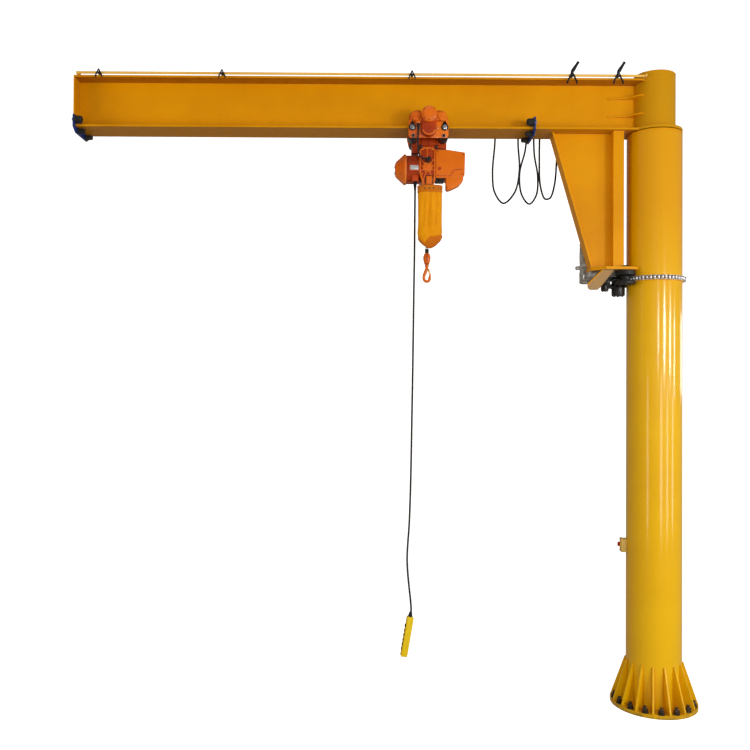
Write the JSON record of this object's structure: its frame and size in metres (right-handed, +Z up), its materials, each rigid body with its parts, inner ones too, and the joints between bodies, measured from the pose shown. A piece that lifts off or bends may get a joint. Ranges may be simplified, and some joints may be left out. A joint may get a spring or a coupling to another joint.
{
  "type": "column jib crane",
  "caption": "Floor-mounted column jib crane: slewing cantilever beam with an electric trolley hoist, chain bag, hook, pendant control and festoon cable.",
  "frame": {"origin": "the column's axis on the underside of the base flange", "axes": "+Z up, the beam runs from the column along -X, and the hoist's gear side faces -Y"},
  "size_m": [4.3731, 0.59, 4.4736],
  "materials": {
    "yellow_paint": "gloss enamel over welded steel",
    "orange_paint": "gloss enamel over castings and pressed steel",
    "black_metal": "blackened, oily",
    "grey_paint": "hammered grey paint",
    "steel": "zinc plated, worn",
    "cream_plastic": "moulded",
    "red_plastic": "moulded",
    "blue_paint": "enamel",
    "black_rubber": "moulded rubber",
    "black_plastic": "moulded",
    "cable_jacket": "extruded jacket",
    "yellow_plastic": "moulded, satin",
    "canvas": "coated canvas"
  },
  "bodies": {
    "column": {"base_plate": "yellow_paint", "base_gussets": "yellow_paint", "column_tube": "yellow_paint", "pivot_spindle": "yellow_paint", "slew_chain": "steel", "isolator_box": "cream_plastic"},
    "isolator_knob": {"isolator_knob": "red_plastic"},
    "jib": {"head_tube": "yellow_paint", "pivot_bearings": "grey_paint", "beam_web": "yellow_paint", "beam_top_flange": "yellow_paint", "beam_bottom_flange": "yellow_paint", "beam_end_plate": "yellow_paint", "root_stiffeners": "yellow_paint", "bracket_web": "yellow_paint", "bracket_slant_flange": "yellow_paint", "bracket_post": "yellow_paint", "bracket_foot_plate": "yellow_paint", "stop_plates": "blue_paint", "stop_buffers": "black_rubber", "head_junction_box": "grey_paint", "guide_wire": "yellow_paint", "wire_clips": "black_plastic", "cable_hangers": "black_plastic", "festoon_cable": "cable_jacket", "slew_motor": "grey_paint", "slew_gearbox": "grey_paint"},
    "roller_near": {"roller_near": "black_metal"},
    "roller_far": {"roller_far": "black_metal"},
    "drive_sprocket": {"drive_sprocket": "black_metal"},
    "trolley": {"trolley_side_plates": "orange_paint", "trolley_spacer_bars": "black_metal", "trolley_motor": "orange_paint", "trolley_lead": "cable_jacket", "trolley_suspension": "orange_paint", "hoist_gearbox": "orange_paint", "hoist_motor": "orange_paint", "hoist_control_box": "orange_paint", "chain_bag": "canvas", "load_chain": "steel", "pendant_cable": "cable_jacket", "pendant": "yellow_plastic"},
    "wheel_tip_near": {"wheel_tip_near": "steel"},
    "wheel_tip_far": {"wheel_tip_far": "steel"},
    "wheel_root_near": {"wheel_root_near": "steel"},
    "wheel_root_far": {"wheel_root_far": "steel"},
    "hook_block": {"hook_block": "orange_paint"},
    "hook": {"hook": "orange_paint", "hook_latch": "steel"}
  },
  "joints": [
    {"name": "slew", "type": "hinge", "parent": "column", "child": "jib", "pos_m": [0, 0, 0], "axis": [0, 0, 1], "range_deg": [-135, 135]},
    {"name": "roller_near_spin", "type": "hinge", "parent": "jib", "child": "roller_near", "pos_m": [-0.23615, -0.10514, 3], "axis": [0, 0, 1], "continuous": true},
    {"name": "roller_far_spin", "type": "hinge", "parent": "jib", "child": "roller_far", "pos_m": [-0.23615, 0.10514, 3], "axis": [0, 0, 1], "continuous": true},
    {"name": "sprocket_spin", "type": "hinge", "parent": "jib", "child": "drive_sprocket", "pos_m": [-0.25465, 0, 2.978], "axis": [0, 0, 1], "continuous": true},
    {"name": "travel", "type": "slide", "parent": "jib", "child": "trolley", "axis": [1, 0, 0], "range_m": [-2.24, 0.53]},
    {"name": "wheel_tip_near_spin", "type": "hinge", "parent": "trolley", "child": "wheel_tip_near", "pos_m": [-1.69, -0.1, 4.076], "axis": [0, 1, 0], "continuous": true},
    {"name": "wheel_tip_far_spin", "type": "hinge", "parent": "trolley", "child": "wheel_tip_far", "pos_m": [-1.69, 0.1, 4.076], "axis": [0, 1, 0], "continuous": true},
    {"name": "wheel_root_near_spin", "type": "hinge", "parent": "trolley", "child": "wheel_root_near", "pos_m": [-1.534, -0.1, 4.076], "axis": [0, 1, 0], "continuous": true},
    {"name": "wheel_root_far_spin", "type": "hinge", "parent": "trolley", "child": "wheel_root_far", "pos_m": [-1.534, 0.1, 4.076], "axis": [0, 1, 0], "continuous": true},
    {"name": "lift", "type": "slide", "parent": "trolley", "child": "hook_block", "axis": [0, 0, 1], "range_m": [-2.6, 0.35], "deforming": ["load_chain"]},
    {"name": "hook_swivel", "type": "hinge", "parent": "hook_block", "child": "hook", "pos_m": [-1.61, 0, 3.05], "axis": [0, 0, 1], "continuous": true},
    {"name": "isolator_turn", "type": "hinge", "parent": "column", "child": "isolator_knob", "pos_m": [-0.22628, 0.0318, 1.11], "axis": [-0.9903, 0.1392, 0], "range_deg": [0, 90]}
  ],
  "couplings": [
    {"joint": "roller_near_spin", "follows": "slew", "ratio": 2.6929},
    {"joint": "roller_far_spin", "follows": "slew", "ratio": 2.6929},
    {"joint": "sprocket_spin", "follows": "slew", "ratio": 3.8462},
    {"joint": "wheel_tip_near_spin", "follows": "travel", "rad_per_m": 20},
    {"joint": "wheel_tip_far_spin", "follows": "travel", "rad_per_m": 20},
    {"joint": "wheel_root_near_spin", "follows": "travel", "rad_per_m": 20},
    {"joint": "wheel_root_far_spin", "follows": "travel", "rad_per_m": 20}
  ]
}
